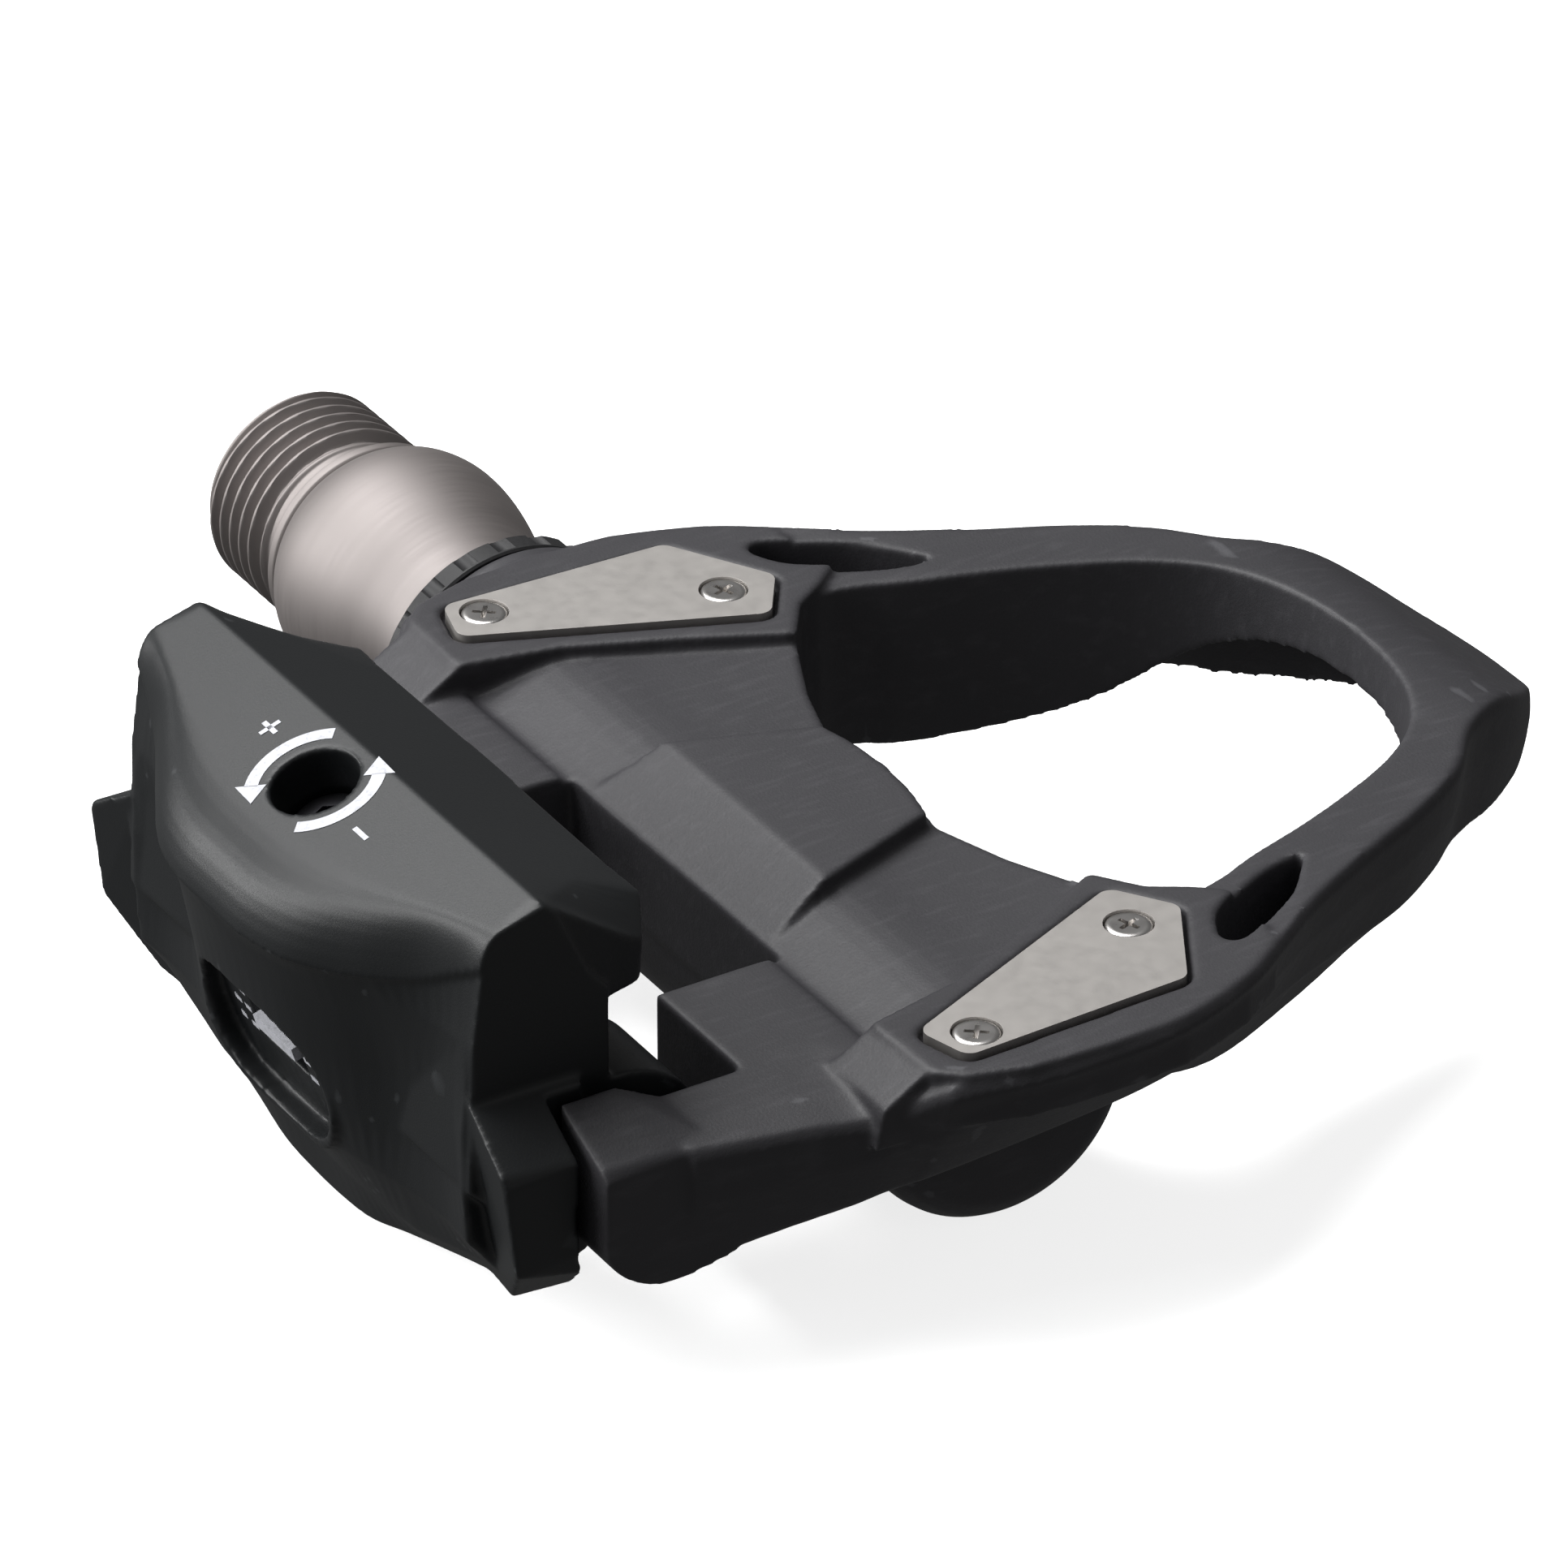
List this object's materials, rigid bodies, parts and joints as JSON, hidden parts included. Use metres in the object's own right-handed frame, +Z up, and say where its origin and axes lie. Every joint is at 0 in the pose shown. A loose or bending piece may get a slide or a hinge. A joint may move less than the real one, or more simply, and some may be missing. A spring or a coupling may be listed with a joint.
{
  "type": "clipless pedal",
  "caption": "Road bicycle clipless pedal: a pointed open-nosed platform on a spindle, with two steel cover plates and a sprung hooded rear claw that locks a shoe cleat.",
  "frame": {"origin": "middle of the bounding box in X and Y, on the plane the pedal rests on when it lies with its platform up", "axes": "+X forward to the nose, +Y inboard along the spindle to the crank, +Z up from the shoe face"},
  "size_m": [0.097, 0.101, 0.0319],
  "materials": {
    "body_composite": "moulded, fine matt grain",
    "claw_plastic": "moulded, smooth satin",
    "satin_steel": "turned, satin",
    "plate_steel": "satin",
    "screw_steel": "bright",
    "bearing_steel": "ground",
    "dark_steel": "blackened",
    "sleeve_plastic": "moulded",
    "seal_rubber": "matt",
    "spring_steel": "drawn wire"
  },
  "bodies": {
    "body": {"pedal_body": "body_composite", "cover_plate_inboard": "plate_steel", "cover_plate_outboard": "plate_steel", "plate_screw_inboard_front": "screw_steel", "plate_screw_inboard_rear": "screw_steel", "plate_screw_outboard_front": "screw_steel", "plate_screw_outboard_rear": "screw_steel", "bearing_sleeve": "sleeve_plastic", "bearing_cup_inboard": "bearing_steel", "bearing_cup_outboard": "bearing_steel", "lock_bolt": "sleeve_plastic", "dust_seal": "seal_rubber", "pivot_pin": "bearing_steel", "torsion_spring_left": "spring_steel", "torsion_spring_right": "spring_steel"},
    "axle": {"spindle": "satin_steel", "bearing_cone": "dark_steel", "lock_nut": "dark_steel"},
    "inboard_balls": {"ball_ring_inboard": "bearing_steel"},
    "outboard_balls": {"ball_ring_outboard": "bearing_steel"},
    "rear_claw": {"claw": "claw_plastic"},
    "bolt": {"tension_bolt": "dark_steel"},
    "nut": {"tension_nut": "sleeve_plastic", "spring_plate": "dark_steel"}
  },
  "joints": [
    {"name": "spindle_spin", "type": "hinge", "parent": "body", "child": "axle", "pos_m": [-0.00585, -0.01526, 0.00925], "axis": [0, 1, 0], "continuous": true},
    {"name": "inboard_balls_spin", "type": "hinge", "parent": "body", "child": "inboard_balls", "pos_m": [-0.00585, 0.01334, 0.00925], "axis": [0, 1, 0], "continuous": true},
    {"name": "outboard_balls_spin", "type": "hinge", "parent": "body", "child": "outboard_balls", "pos_m": [-0.00585, -0.03206, 0.00925], "axis": [0, 1, 0], "continuous": true},
    {"name": "claw_hinge", "type": "hinge", "parent": "body", "child": "rear_claw", "pos_m": [-0.03215, -0.01526, 0.01226], "axis": [0, -1, 0], "range_deg": [0, 14], "stiffness_Nm_per_rad": 0.5, "springref_deg": -20.05, "deforming": ["torsion_spring_left", "torsion_spring_right"]},
    {"name": "tension_bolt_turn", "type": "hinge", "parent": "rear_claw", "child": "bolt", "pos_m": [-0.04085, -0.01526, 0.03045], "axis": [-0.2924, 0, 0.9563], "range_deg": [-720, 720]},
    {"name": "tension_nut_slide", "type": "slide", "parent": "rear_claw", "child": "nut", "axis": [-0.2924, 0, 0.9563], "range_m": [-0.0014, 0.0014]}
  ],
  "couplings": [
    {"joint": "inboard_balls_spin", "follows": "spindle_spin", "ratio": 0.3845},
    {"joint": "outboard_balls_spin", "follows": "spindle_spin", "ratio": 0.3845},
    {"joint": "tension_bolt_turn", "follows": "tension_nut_slide", "rad_per_m": -8975.9}
  ]
}
